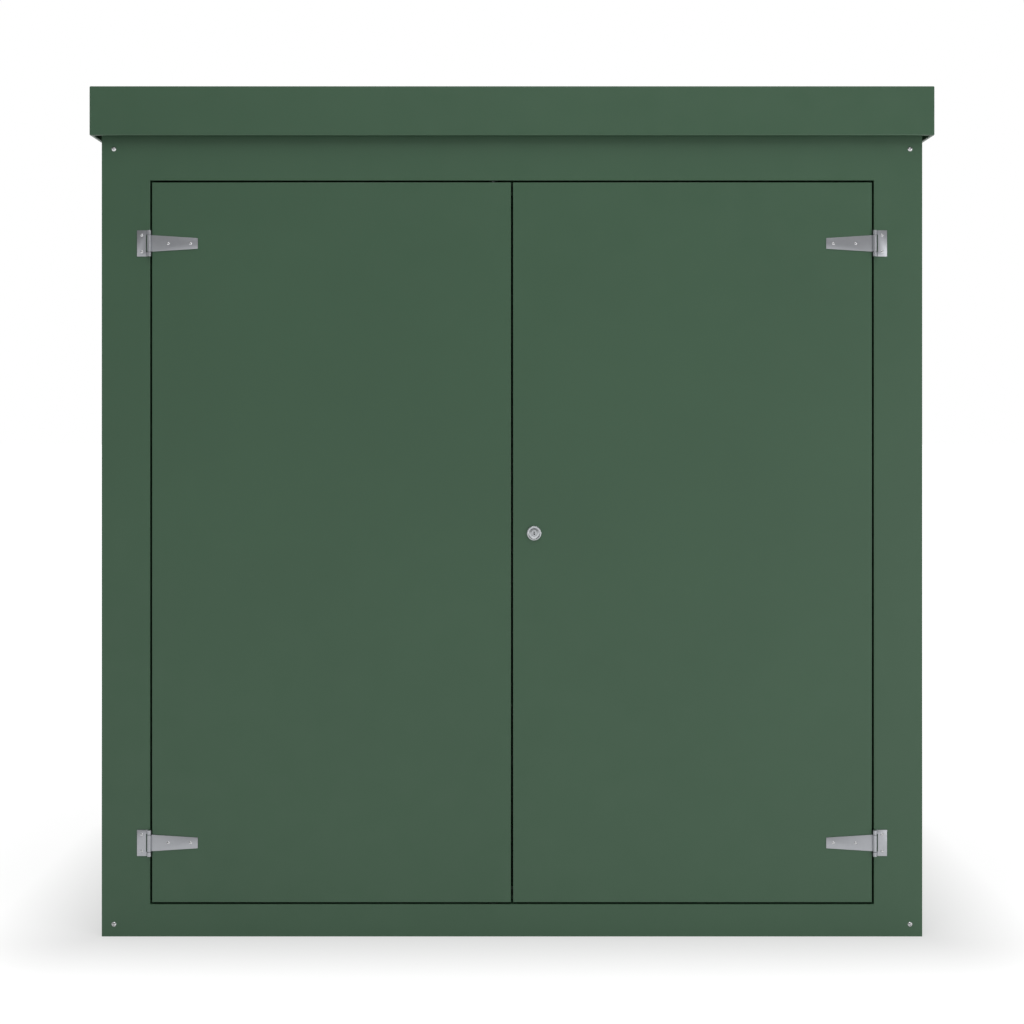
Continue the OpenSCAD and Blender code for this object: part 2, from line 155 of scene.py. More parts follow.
def plated_steel(name, bright, dull, roughness, grain_mm=(0.5, 14, 0.5)):
    """Cold-rolled steel, pressed and zinc plated: a grey metal with fine rolling marks along
    the strip and the faint blooming that plating leaves."""
    material, tree, shader, place = surface(name, metallic=1.0)
    mottle(tree, shader, place, 9, (dull, bright), 5.0, 0.6)
    rolled_place = add(tree, "ShaderNodeMapping", {
        "Vector": place, "Scale": [per_metre(g) for g in grain_mm]})
    rolled = add(tree, "ShaderNodeTexNoise", {
        "Vector": rolled_place.outputs[0], "Scale": 1.0, "Detail": 2.0})
    gloss = add(tree, "ShaderNodeMapRange", {
        "Value": rolled.outputs[0], "From Min": 0.3, "From Max": 0.7,
        "To Min": roughness - 0.03, "To Max": roughness + 0.04})
    tree.links.new(gloss.outputs[0], shader.inputs["Roughness"])
    bump = add(tree, "ShaderNodeBump", {
        "Strength": 0.1, "Distance": 0.02 * MM, "Height": rolled.outputs[0]})
    tree.links.new(bump.outputs[0], shader.inputs["Normal"])
    return material


def turned_nickel(name, colour, centre, roughness):
    """A zinc die casting, faced on a lathe and nickel plated: satin, with fine rings."""
    material, tree, shader, place = surface(name, metallic=1.0)
    shader.inputs["Base Color"].default_value = linear(colour)
    on_centre = add(tree, "ShaderNodeMapping", {"Vector": place, "Location": -centre})
    rings = add(tree, "ShaderNodeTexWave", {
        "Vector": on_centre.outputs[0], "Scale": per_metre(2.2), "Distortion": 0.6,
        "Detail": 2.0}, wave_type="RINGS", rings_direction="Y")
    gloss = add(tree, "ShaderNodeMapRange", {
        "Value": rings.outputs[1], "To Min": roughness - 0.04, "To Max": roughness + 0.05})
    tree.links.new(gloss.outputs[0], shader.inputs["Roughness"])
    bump = add(tree, "ShaderNodeBump", {
        "Strength": 0.25, "Distance": 0.02 * MM, "Height": rings.outputs[1]})
    tree.links.new(bump.outputs[0], shader.inputs["Normal"])
    return material


def extruded_rubber(name):
    """EPDM, extruded: dull black, with a fine grit and a dusting of bloom."""
    material, tree, shader, place = surface(name, ior=1.52)
    mottle(tree, shader, place, 25, ("#151616", "#262727"), 6.0, 0.7)
    shader.inputs["Roughness"].default_value = 0.68
    grit = add(tree, "ShaderNodeTexNoise", {"Vector": place, "Scale": per_metre(1.2)})
    bump = add(tree, "ShaderNodeBump", {
        "Strength": 0.3, "Distance": 0.05 * MM, "Height": grit.outputs[0]})
    tree.links.new(bump.outputs[0], shader.inputs["Normal"])
    return material


def pultruded_grp(name, pale, deep):
    """Pultruded fibreglass: pale grey, with the rovings showing as fine streaks."""
    material, tree, shader, place = surface(name)
    streak_place = add(tree, "ShaderNodeMapping", {
        "Vector": place, "Scale": (per_metre(45), per_metre(45), per_metre(1.5))})
    streaks = add(tree, "ShaderNodeTexNoise", {
        "Vector": streak_place.outputs[0], "Scale": 1.0, "Detail": 4.0, "Roughness": 0.7})
    tint = add(tree, "ShaderNodeMix", {
        0: streaks.outputs[0], 6: linear(deep), 7: linear(pale)}, data_type="RGBA")
    tree.links.new(tint.outputs[2], shader.inputs["Base Color"])
    shader.inputs["Roughness"].default_value = 0.5
    bump = add(tree, "ShaderNodeBump", {
        "Strength": 0.25, "Distance": 0.06 * MM, "Height": streaks.outputs[0]})
    tree.links.new(bump.outputs[0], shader.inputs["Normal"])
    return material


def sealant(name, colour):
    """Polyurethane sealant, tooled with a wet finger: smooth, slightly uneven along its run."""
    material, tree, shader, place = surface(name)
    shader.inputs["Base Color"].default_value = linear(colour)
    shader.inputs["Roughness"].default_value = 0.45
    drag = add(tree, "ShaderNodeTexNoise", {
        "Vector": place, "Scale": per_metre(18), "Detail": 3.0})
    bump = add(tree, "ShaderNodeBump", {
        "Strength": 0.4, "Distance": 0.3 * MM, "Height": drag.outputs[0]})
    tree.links.new(bump.outputs[0], shader.inputs["Normal"])
    return material


# ---- Places, read from the frame ------------------------------------------------------------

stile_low, stile_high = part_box("front_stile_left")
head_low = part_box("front_head")[0]
sill_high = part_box("front_sill")[1]
stop_low, stop_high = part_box("door_stop_left")
front_y = stile_low.y
way_x = -stile_high.x
lock_low, lock_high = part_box("lock_case")
lock_centre = Vector((
    (lock_low.x + lock_high.x) / 2, front_y, (lock_low.z + lock_high.z) / 2))
joints = {joint["name"]: Vector(joint["pos_m"]) for joint in frame["joints"]}
hinge_axis = {LEFT: joints["left_door_hinge"], RIGHT: joints["right_door_hinge"]}
leaf_body = {LEFT: "left_leaf", RIGHT: "right_leaf"}

GREEN = gelcoat("green_gelcoat", "#3f6047", "#3b5a43", 0.42)
GREEN_EDGE = gelcoat("green_gelcoat_edges", "#46664f", "#405f47", 0.36)
WHITE = flowcoat("white_flowcoat", "#d9dbd5", "#c9ccc5")
ROOF_CORE = flowcoat("roof_core_laminate", "#cfcfc2", "#bfc0b2")
ANGLE = pultruded_grp("pultruded_angle", "#c9ccc8", "#b2b6b1")
RUBBER = extruded_rubber("epdm_rubber")
BEAD = sealant("grey_sealant", "#b9bbb8")
HINGE = plated_steel("zinc_plated_steel", "#b3b5b9", "#abadb2", 0.42, grain_mm=(30, 30, 0.3))
BOLT = plated_steel("bolt_steel", "#b4b6ba", "#a2a4a9", 0.34)
# The screws are stainless and cold formed, so their grain runs no one way.
SCREW = plated_steel("stainless_steel", "#cfd0d1", "#c2c3c5", 0.24, grain_mm=(1, 1, 1))
NICKEL = turned_nickel("satin_nickel", "#bcbfc2", lock_centre, 0.27)


# ---- Mesh building --------------------------------------------------------------------------

def add_box(bm, low, high):
    """Adds a closed box between two corners."""
    size, middle = high - low, (low + high) / 2
    place = Matrix.Translation(middle) @ Matrix.Diagonal((*size, 1))
    return bmesh.ops.create_cube(bm, size=1, matrix=place)["verts"]


def join_rows(bm, a, b):
    """Closes the band between two closed rows with the same number of points."""
    for i in range(len(a)):
        j = (i + 1) % len(a)
        bm.faces.new((a[i], a[j], b[j], b[i]))


def add_ring(bm, outer, inner, y0, y1):
    """Adds a flat picture frame. outer and inner are (x0, z0, x1, z1)."""
    rows = []
    for y in (y0, y1):
        for x0, z0, x1, z1 in (outer, inner):
            corners = ((x0, z0), (x1, z0), (x1, z1), (x0, z1))
            rows.append([bm.verts.new((x, y, z)) for x, z in corners])
    front_out, front_in, back_out, back_in = rows
    sides = (
        (front_out, front_in), (back_in, back_out), (back_out, front_out), (front_in, back_in))
    for a, b in sides:
        join_rows(bm, a, b)


def add_prism(bm, outline, z0, z1):
    """Adds a closed prism along Z on an outline of (x, y) points."""
    low = [bm.verts.new((x, y, z0)) for x, y in outline]
    high = [bm.verts.new((x, y, z1)) for x, y in outline]
    bm.faces.new(low[::-1])
    bm.faces.new(high)
    join_rows(bm, low, high)
    return low + high


def add_lathe(bm, profile, steps=48, closed=False):
    """Adds a closed turned shape about Z. profile holds (radius, height) points, and begins and
    ends on the axis, or is a closed loop that stays clear of it."""
    rings = []
    for radius, height in profile:
        count = 1 if radius == 0 else steps
        turns = [2 * math.pi * i / steps for i in range(count)]
        rings.append([
            bm.verts.new((radius * math.cos(t), radius * math.sin(t), height)) for t in turns])
    for low, high in zip(rings, rings[1:] + (rings[:1] if closed else [])):
        for i in range(steps):
            j = (i + 1) % steps
            a, b = low[i % len(low)], low[j % len(low)]
            c, d = high[j % len(high)], high[i % len(high)]
            corners = [a, b, c, d]
            bm.faces.new(list(dict.fromkeys(corners)))
    return [v for ring in rings for v in ring]


def turn_to_front(bm, verts, centre):
    """Turns a shape made about Z so that its top faces -Y, and moves its base to centre."""
    place = Matrix.Translation(centre) @ Matrix.Rotation(math.radians(90), 4, "X")
    bmesh.ops.transform(bm, matrix=place, verts=verts)


def round_edges(bm, width, segments=3, pick=None, least_angle=30, finish=-1):
    """Rounds the sharp edges that pick chooses. The new faces are smooth, and take a finish."""
    edges = [
        e for e in bm.edges
        if len(e.link_faces) == 2 and e.calc_face_angle() > math.radians(least_angle)
        and (pick is None or pick((e.verts[0].co + e.verts[1].co) / 2))]
    made = bmesh.ops.bevel(
        bm, geom=edges, offset=width, segments=segments, profile=0.5, affect="EDGES",
        clamp_overlap=True, material=finish)
    for face in made["faces"]:
        face.smooth = True


def cad_copy(node):
    """The mesh of a CAD node as a bmesh, with its flat faces whole again."""
    bm = bmesh.new()
    bm.from_mesh(frame["nodes"][node].data)
    bmesh.ops.remove_doubles(bm, verts=bm.verts, dist=0.002 * MM)
    bmesh.ops.dissolve_limit(
        bm, angle_limit=math.radians(0.5), verts=bm.verts, edges=bm.edges)
    curved = (math.radians(1), math.radians(25))
    for face in bm.faces:
        face.material_index = 0
        face.smooth = any(
            len(e.link_faces) == 2 and curved[0] < e.calc_face_angle() < curved[1]
            for e in face.edges)
    return bm


def as_object(name, bm):
    """Makes a bmesh an object in the scene."""
    mesh = bpy.data.meshes.new(name)
    bm.to_mesh(mesh)
    bm.free()
    made = bpy.data.objects.new(name, mesh)
    bpy.context.scene.collection.objects.link(made)
    return made


def merge(whole, part):
    """Adds a copy of one bmesh to another, and returns its points there."""
    before = set(whole.verts)
    mesh = bpy.data.meshes.new("merged")
    part.to_mesh(mesh)
    whole.from_mesh(mesh)
    bpy.data.meshes.remove(mesh)
    return [v for v in whole.verts if v not in before]


def piece(name, bm, finishes, body, nodes=()):
    """Makes a bmesh a finished piece that rides on a body, and stands for some CAD nodes."""
    bmesh.ops.recalc_face_normals(bm, faces=bm.faces)
    return settle(as_object(name, bm), finishes, body, nodes)


def settle(made, finishes, body, nodes=()):
    """Gives a finished object its materials and body, and hides the CAD nodes that it stands for.
    """
    made.data.materials.clear()
    for finish in finishes:
        made.data.materials.append(finish)
    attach(made, body)
    if nodes:
        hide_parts(*nodes)
    return made


def cut_out(name, bm, cutter):
    """Cuts one bmesh out of another, and returns the result as a bmesh."""
    objects = []
    for part_name, part in ((name, bm), (name + "_cutter", cutter)):
        bmesh.ops.recalc_face_normals(part, faces=part.faces)
        objects.append(as_object(part_name, part))
    body, tool = objects
    modifier = body.modifiers.new("cut", "BOOLEAN")
    modifier.operation = "DIFFERENCE"
    modifier.solver = "EXACT"
    modifier.object = tool
    result = bpy.data.meshes.new_from_object(
        body.evaluated_get(bpy.context.evaluated_depsgraph_get()))
    out = bmesh.new()
    out.from_mesh(result)
    bpy.data.meshes.remove(result)
    for made in objects:
        bpy.data.objects.remove(made)
    return out


def smooth_by_angle(bm, degrees=35):
    """Shades a turned or rolled shape smooth, apart from its sharp edges."""
    for face in bm.faces:
        face.smooth = True
    for edge in bm.edges:
        if len(edge.link_faces) == 2:
            edge.smooth = edge.calc_face_angle() < math.radians(degrees)


# ---- Geometry Nodes -------------------------------------------------------------------------

def geometry_tree(name, sockets):
    """An empty tree with a geometry in and out, and named inputs of (name, kind) pairs."""
    tree = bpy.data.node_groups.new(name, "GeometryNodeTree")
    face = tree.interface
    face.new_socket(name="Geometry", in_out="INPUT", socket_type="NodeSocketGeometry")
    for label, kind in sockets:
        face.new_socket(name=label, in_out="INPUT", socket_type=kind)
    face.new_socket(name="Geometry", in_out="OUTPUT", socket_type="NodeSocketGeometry")
    return tree, add(tree, "NodeGroupInput").outputs


def end_tree(tree, shape, finish):
    """Ends a tree: its copies are made real, and take their finish."""
    real = add(tree, "GeometryNodeRealizeInstances", {"Geometry": shape})
    finished = add(tree, "GeometryNodeSetMaterial", {
        "Geometry": real.outputs[0], "Material": finish})
    add(tree, "NodeGroupOutput", {0: finished.outputs[0]})
    return tree


def heads_tree():
    """Sets a copy of a head on each point, facing the way that the point's 'out' says, and
    turned about its own axis by a random angle, as screws are left."""
    tree, given = geometry_tree("heads_on_points", [
        ("Head", "NodeSocketObject"), ("Most Turn", "NodeSocketFloat"),
        ("Seed", "NodeSocketInt"), ("Finish", "NodeSocketMaterial")])
    head = add(tree, "GeometryNodeObjectInfo", {"Object": given["Head"]})
    out = add(tree, "GeometryNodeInputNamedAttribute", {"Name": "out"}, data_type="FLOAT_VECTOR")
    facing = add(tree, "FunctionNodeAlignRotationToVector", {"Vector": out.outputs[0]}, axis="Z")
    points = add(tree, "GeometryNodeMeshToPoints", {"Mesh": given["Geometry"]})
    copies = add(tree, "GeometryNodeInstanceOnPoints", {
        "Points": points.outputs[0], "Instance": head.outputs["Geometry"],
        "Rotation": facing.outputs[0]})
    least = add(tree, "ShaderNodeMath", {0: given["Most Turn"], 1: -1.0}, operation="MULTIPLY")
    turn = add(tree, "FunctionNodeRandomValue", {
        2: least.outputs[0], 3: given["Most Turn"], "Seed": given["Seed"]})
    spin = add(tree, "ShaderNodeCombineXYZ", {"Z": turn.outputs[1]})
    turned = add(tree, "GeometryNodeRotateInstances", {
        "Instances": copies.outputs[0], "Rotation": spin.outputs[0], "Local Space": True})
    return end_tree(tree, turned.outputs[0], given["Finish"])


def bead_tree():
    """Sweeps a round bead along each edge of a mesh, as sealant is run into a corner."""
    tree, given = geometry_tree("bead_on_edges", [
        ("Radius", "NodeSocketFloat"), ("Finish", "NodeSocketMaterial")])
    path = add(tree, "GeometryNodeMeshToCurve", {"Mesh": given["Geometry"]})
    ring = add(tree, "GeometryNodeCurvePrimitiveCircle", {
        "Resolution": 12, "Radius": given["Radius"]})
    bead = add(tree, "GeometryNodeCurveToMesh", {
        "Curve": path.outputs[0], "Profile Curve": ring.outputs[0], "Fill Caps": True})
    smooth = add(tree, "GeometryNodeSetShadeSmooth", {"Geometry": bead.outputs[0]})
    return end_tree(tree, smooth.outputs[0], given["Finish"])


def thread_tree():
    """A screw thread: a ridge swept along a helix about Z, from the height 0 up."""
    tree, given = geometry_tree("thread_on_helix", [
        ("Radius", "NodeSocketFloat"), ("Length", "NodeSocketFloat"),
        ("Pitch", "NodeSocketFloat"), ("Finish", "NodeSocketMaterial")])
    turns = add(tree, "ShaderNodeMath", {
        0: given["Length"], 1: given["Pitch"]}, operation="DIVIDE")
    helix = add(tree, "GeometryNodeCurveSpiral", {
        "Resolution": 32, "Rotations": turns.outputs[0], "Start Radius": given["Radius"],
        "End Radius": given["Radius"], "Height": given["Length"]})
    half = add(tree, "ShaderNodeMath", {0: given["Pitch"], 1: 0.5}, operation="MULTIPLY")
    ridge = add(tree, "GeometryNodeCurvePrimitiveCircle", {
        "Resolution": 4, "Radius": half.outputs[0]})
    sweep = add(tree, "GeometryNodeCurveToMesh", {
        "Curve": helix.outputs[0], "Profile Curve": ridge.outputs[0], "Fill Caps": True})
    return end_tree(tree, sweep.outputs[0], given["Finish"])


def grow(name, mesh, tree, settings):
    """Runs a geometry tree on a mesh, and returns the result as a plain object."""
    seedling = bpy.data.objects.new(name, mesh)
    bpy.context.scene.collection.objects.link(seedling)
    modifier = seedling.modifiers.new("grow", "NODES")
    modifier.node_group = tree
    for item in tree.interface.items_tree:
        if item.in_out == "INPUT" and item.name in settings:
            modifier[item.identifier] = settings[item.name]
    result = bpy.data.meshes.new_from_object(
        seedling.evaluated_get(bpy.context.evaluated_depsgraph_get()))
    bpy.data.objects.remove(seedling)
    result.name = name
    grown = bpy.data.objects.new(name, result)
    bpy.context.scene.collection.objects.link(grown)
    return grown


def points_mesh(name, places):
    """A mesh of loose points, each with the direction that it faces in its 'out' attribute."""
    mesh = bpy.data.meshes.new(name)
    mesh.from_pydata([place for place, _ in places], [], [])
    out = mesh.attributes.new("out", "FLOAT_VECTOR", "POINT")
    for value, (_, direction) in zip(out.data, places):
        value.vector = direction
    return mesh


def path_mesh(name, runs):
    """A mesh of loose edges, one for each pair of points."""
    mesh = bpy.data.meshes.new(name)
    points = [point for run in runs for point in run]
    mesh.from_pydata(points, [(i, i + 1) for i in range(0, len(points), 2)], [])
    return mesh


HEADS = heads_tree()
BEADS = bead_tree()
THREAD = thread_tree()
TO_FRONT, TO_BACK = Vector((0, -1, 0)), Vector((0, 1, 0))


def head_object(name, bm):
    """A screw head, kept only while the trees copy it."""
    smooth_by_angle(bm)
    bmesh.ops.recalc_face_normals(bm, faces=bm.faces)
    return as_object(name, bm)


def dome_profile(radius, height, foot, rows=6):
    """A round head: a short straight foot, then an arc to the top."""
    rise = height - foot
    ball = (rise * rise + radius * radius) / (2 * rise)
    half_angle = math.asin(radius / ball)
    arc = [
        (ball * math.sin(half_angle * (1 - i / rows)),
         height - ball + ball * math.cos(half_angle * (1 - i / rows)))
        for i in range(rows + 1)]
    return [(0, 0), (radius, 0)] + arc[:-1] + [(0, height)]


def hexagon(radius):
    """The corners of a hexagon."""
    turns = [math.radians(60 * i) for i in range(6)]
    return [(radius * math.cos(t), radius * math.sin(t)) for t in turns]


def cross(arm, width):
    """The corners of a cross, with arms of a given reach and width."""
    half = width / 2
    return [
        (arm, -half), (arm, half), (half, half), (half, arm), (-half, arm), (-half, half),
        (-arm, half), (-arm, -half), (-half, -half), (-half, -arm), (half, -arm), (half, -half)]


def screw_head(name, size, foot, steps, recess, floor):
    """A round head with a short straight foot. Its recess stops at a share of its height."""
    radius, height = size
    bm = bmesh.new()
    add_lathe(bm, dome_profile(radius, height, foot), steps)
    tool = bmesh.new()
    add_prism(tool, recess, height * floor, 2 * height)
    return head_object(name, cut_out(name, bm, tool))


# Radii that the moulds and the tools leave on the edges
CORNER_ROUND, ROOF_ROUND, STOP_ROUND, DOOR_ROUND = 4 * MM, 3 * MM, 2 * MM, 1.2 * MM
PANEL_BREAK, ANGLE_BREAK, STAMPED_BREAK, PLATE_BREAK = 0.5 * MM, 1 * MM, 0.4 * MM, 0.3 * MM
# How near to a face or an end an edge lies to count as one of its edges
NEAR = 1 * MM


# ---- Front frame, stops, walls and roof -----------------------------------------------------

def front_frame():
    """The moulded front frame, in one piece, with recesses for the bolts' keeps and holes for
    their rods."""
    outer = (stile_low.x, 0.0, -stile_low.x, stile_high.z)
    inner = (-way_x, sill_high.z, way_x, head_low.z)
    bm = bmesh.new()
    add_ring(bm, outer, inner, stile_low.y, stile_high.y)
    corner = -stile_low.x - NEAR
    round_edges(bm, CORNER_ROUND, 4, lambda p: abs(p.x) > corner
                and p.y < front_y + NEAR, finish=1)
    round_edges(bm, DOOR_ROUND, 2, lambda p: abs(p.x) < corner and p.y < front_y + NEAR
                and NEAR < p.z < stile_high.z - NEAR, finish=1)
    keep_low, keep_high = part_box("bolt_keeps")
    tool = bmesh.new()
    margin = 0.15 * MM
    for z0, z1 in ((keep_low.z, inner[1] + NEAR), (inner[3] - NEAR, keep_high.z)):
        add_box(tool, Vector((keep_low.x - margin, keep_low.y - margin, z0)),
                Vector((keep_high.x + margin, keep_high.y + margin, z1)))
    rod_hole, rod_depth = 6 * MM, 30 * MM
    middle = (keep_low + keep_high) / 2
    for z0, z1 in ((keep_low.z - rod_depth, inner[1]), (inner[3], keep_high.z + rod_depth)):
        holes = add_lathe(tool, [(0, z0), (rod_hole, z0), (rod_hole, z1), (0, z1)], 32)
        place = Matrix.Translation((middle.x, middle.y, 0))
        bmesh.ops.transform(tool, matrix=place, verts=holes)
    shaped = cut_out("front_frame_moulding", bm, tool)
    stands_for = ["front_stile_left", "front_stile_right", "front_head", "front_sill"]
    return piece("front_frame_moulding", shaped, [GREEN, GREEN_EDGE], "enclosure",
                 stands_for)


def door_stops():
    """The four stops behind the doorway, as one flange."""
    top_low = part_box("door_stop_top")[0]
    bottom_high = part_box("door_stop_bottom")[1]
    outer = (stop_low.x, 0.0, -stop_low.x, stop_high.z)
    inner = (stop_high.x, bottom_high.z, -stop_high.x, top_low.z)
    bm = bmesh.new()
    add_ring(bm, outer, inner, stop_low.y, stop_high.y)
    round_edges(bm, STOP_ROUND, 3, lambda p: abs(p.x) < -stop_high.x + NEAR
                and bottom_high.z - NEAR < p.z < top_low.z + NEAR, finish=1)
    return piece("door_stop_flange", bm, [GREEN, GREEN_EDGE], "enclosure", [
        "door_stop_left", "door_stop_right", "door_stop_top", "door_stop_bottom"])


def seal():
    """A D-shaped rubber strip round the stops, mitred at the corners."""
    low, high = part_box("door_seal")
    width, depth = 12 * MM, high.y - low.y
    # The share of the depth that is the strip's straight foot, and the steps of its round back
    foot, steps = 0.35, 10
    turns = [math.pi * i / steps for i in range(1, steps)]
    profile = [(0.0, 0.0), (0.0, foot)]
    profile += [(0.5 - 0.5 * math.cos(t), foot + (1 - foot) * math.sin(t)) for t in turns]
    profile += [(1.0, foot), (1.0, 0.0)]
    bm = bmesh.new()
    rows = []
    for across, rise in profile:
        inset, y = across * width, high.y - rise * depth
        corners = (
            (low.x + inset, low.z + inset), (high.x - inset, low.z + inset),
            (high.x - inset, high.z - inset), (low.x + inset, high.z - inset))
        rows.append([bm.verts.new((x, y, z)) for x, z in corners])
    for a, b in zip(rows, rows[1:] + rows[:1]):
        join_rows(bm, a, b)
    smooth_by_angle(bm, 50)
    return piece("door_seal_strip", bm, [RUBBER], "enclosure", ["door_seal"])


def walls():
    """The outer panels. Their corners are rounded as the mould leaves them, and the hairline
    joints between them have a small break."""
    for node in ("left_wall", "right_wall", "back_wall"):
        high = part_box(node)[1]
        bm = cad_copy(node)
        if node == "back_wall":
            round_edges(bm, CORNER_ROUND, 4, lambda p: abs(p.x) > high.x - NEAR
                        and p.y > high.y - NEAR, finish=1)
        round_edges(bm, PANEL_BREAK, 2, lambda p: p.z < high.z - NEAR)
        piece(node + "_panel", bm, [GREEN, GREEN_EDGE], "enclosure", [node])


def roof():
    """The lid-like roof moulding."""
    bm = cad_copy("roof_cap")
    round_edges(bm, ROOF_ROUND, 4, finish=1)
    piece("roof_moulding", bm, [GREEN, GREEN_EDGE], "enclosure", ["roof_cap"])


def inner_skins():
    """Linings and roof deck keep their CAD shape, and the angles' edges get a small break."""
    for node in ("left_wall_lining", "right_wall_lining", "back_wall_lining", "ceiling_lining"):
        paint(node, WHITE)
    paint("roof_deck", ROOF_CORE)
    for node in ("base_angle_left", "base_angle_right", "base_angle_front", "base_angle_back"):
        bm = cad_copy(node)
        round_edges(bm, ANGLE_BREAK, 2)
        piece(node + "_section", bm, [ANGLE], "enclosure", [node])


def paint(node, finish):
    """Gives a CAD node its finish."""
    slots = frame["nodes"][node].material_slots
    for slot in slots:
        slot.material = finish


def sealant_beads():
    """Sealant up the room's four corners and round the edge of its ceiling."""
    room_low = Vector((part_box("left_wall_lining")[1].x, stop_high.y, 0.0))
    room_high = Vector((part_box("right_wall_lining")[0].x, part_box("back_wall_lining")[0].y,
                        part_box("ceiling_lining")[0].z))
    corners = [(x, y) for x in (room_low.x, room_high.x) for y in (room_low.y, room_high.y)]
    angle_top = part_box("base_angle_left")[1].z
    runs = [((x, y, angle_top), (x, y, room_high.z)) for x, y in corners]
    top = [(room_low.x, room_low.y), (room_high.x, room_low.y), (room_high.x, room_high.y),
           (room_low.x, room_high.y)]
    runs += [((*a, room_high.z), (*b, room_high.z)) for a, b in zip(top, top[1:] + top[:1])]
    bead = grow("room_sealant", path_mesh("room_corners", runs), BEADS, {
        "Radius": 5 * MM, "Finish": BEAD})
    settle(bead, [BEAD], "enclosure")


# ---- Doors ----------------------------------------------------------------------------------

# The half width round the lock's centre where a leaf's edges stay sharp, as its hole does
LOCK_CLEAR = 20 * MM


def door_leaves():
    """The leaves' green outer skins and pale inner ones."""
    for side, name in ((LEFT, "left_door"), (RIGHT, "right_door")):
        bm = cad_copy(name)
        round_edges(bm, DOOR_ROUND, 2, lambda p: p.y < front_y + NEAR
                    and abs(p.x - lock_centre.x) > LOCK_CLEAR, finish=1)
        piece(name + "_skin", bm, [GREEN, GREEN_EDGE], leaf_body[side], [name])
        lining = name + "_lining"
        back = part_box(lining)[1].y
        bm = cad_copy(lining)
        round_edges(bm, DOOR_ROUND, 2, lambda p: p.y > back - NEAR)
        piece(lining + "_skin", bm, [WHITE], leaf_body[side], [lining])


# ---- Hinges ---------------------------------------------------------------------------------

pin_low, pin_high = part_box("hinge_pins")
plate_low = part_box("hinge_plates")[0]
# Half the plate's height, then the radii of the rolled knuckle, its bore and the pin
PLATE_HALF, KNUCKLE_R, BORE_R, PIN_R = 32.5 * MM, 5.2 * MM, 3.05 * MM, 3.0 * MM
SHEET = 2.0 * MM
HINGE_HEIGHTS = (pin_low.z + PLATE_HALF, pin_high.z - PLATE_HALF)
# The distance from a hinge's axis to the face that its sheets lie on
FACE_OFF = front_y - hinge_axis[LEFT].y
PLATE_REACH = hinge_axis[LEFT].x - plate_low.x
# The notch in the plate that the strap's knuckle turns in
NOTCH_X, NOTCH_HALF = 8.5 * MM, 22.0 * MM
# Half the strap's height at its knuckle, where its sheet begins and at its tip
STRAP_HALF, STRAP_ROOT, STRAP_TIP = 20.5 * MM, 20.0 * MM, 13.25 * MM
STRAP_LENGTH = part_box("left_hinge_straps")[1].x - hinge_axis[LEFT].x


def rolled_sheet(reach, way):
    """The outline of a sheet that is rolled round its pin, seen along the pin. The sheet runs
    the given way along X, and the rolled end stops just short of it."""
    start, last, steps = math.radians(90), math.radians(148), 28
    turns = [start - (2 * math.pi - last + start) * i / steps for i in range(steps + 1)]
    outer = [(KNUCKLE_R * math.cos(t), KNUCKLE_R * math.sin(t)) for t in turns]
    inner = [(BORE_R * math.cos(t), BORE_R * math.sin(t)) for t in turns]
    sheet_y = FACE_OFF - SHEET
    outline = [(-reach, FACE_OFF), (-5 * MM, FACE_OFF), (-2.5 * MM, FACE_OFF - 0.12 * MM)]
    outline += outer + inner[::-1]
    outline += [(-2 * MM, sheet_y - 0.2 * MM), (-4.5 * MM, sheet_y), (-reach, sheet_y)]
    return [(-x * way, y) for x, y in outline]


def cap_with_triangles(bm):
    """Splits the many-sided end faces, so that they stay true when their corners are moved."""
    bmesh.ops.triangulate(bm, faces=[f for f in bm.faces if len(f.verts) > 4])


def put_at_hinges(shape, side):
    """Copies of a shape made round the origin, at both hinges of one leaf."""
    bm = bmesh.new()
    axis = hinge_axis[side]
    for height in HINGE_HEIGHTS:
        place = Matrix.Translation((axis.x, axis.y, height)) @ Matrix.Diagonal((-side, 1, 1, 1))
        bmesh.ops.transform(bm, matrix=place, verts=merge(bm, shape))
    return bm


def hinge_plate():
    """A fixed plate, rolled round the pin above and below the strap's knuckle."""
    bm = bmesh.new()
    add_prism(bm, rolled_sheet(PLATE_REACH, LEFT), -PLATE_HALF, PLATE_HALF)
    tool = bmesh.new()
    add_box(tool, Vector((-NOTCH_X, -2 * KNUCKLE_R, -NOTCH_HALF)),
            Vector((2 * KNUCKLE_R, 2 * KNUCKLE_R, NOTCH_HALF)))
    shaped = cut_out("hinge_plate", bm, tool)
    # The groove that the roll leaves along the barrel, over the plate's whole height
    near, far, depth = 0.4 * MM, 2.4 * MM, 1.4 * MM
    groove_y = FACE_OFF - SHEET
    tool = bmesh.new()
    add_box(tool, Vector((-NOTCH_X + near, groove_y - MM, -2 * PLATE_HALF)),
            Vector((-NOTCH_X + far, groove_y + depth, 2 * PLATE_HALF)))
    shaped = cut_out("hinge_plate", shaped, tool)
    smooth_rolled(shaped)
    return shaped


def hinge_strap():
    """A strap: one rolled knuckle, and a sheet that narrows to a square tip."""
    bm = bmesh.new()
    verts = add_prism(bm, rolled_sheet(STRAP_LENGTH, RIGHT), -1, 1)
    for vert in verts:
        along = vert.co.x / STRAP_LENGTH
        on_sheet = vert.co.x > KNUCKLE_R
        half = STRAP_ROOT + (STRAP_TIP - STRAP_ROOT) * along if on_sheet else STRAP_HALF
        vert.co.z = math.copysign(half, vert.co.z)
    smooth_rolled(bm)
    return bm


def smooth_rolled(bm):
    """Rounds the sheet's sheared edges a little, and shades the rolled knuckle smooth."""
    bmesh.ops.recalc_face_normals(bm, faces=bm.faces)
    round_edges(bm, PLATE_BREAK, 2, lambda p: abs(p.x) > NOTCH_X + 0.5 * MM, 50)
    cap_with_triangles(bm)
    smooth_by_angle(bm)


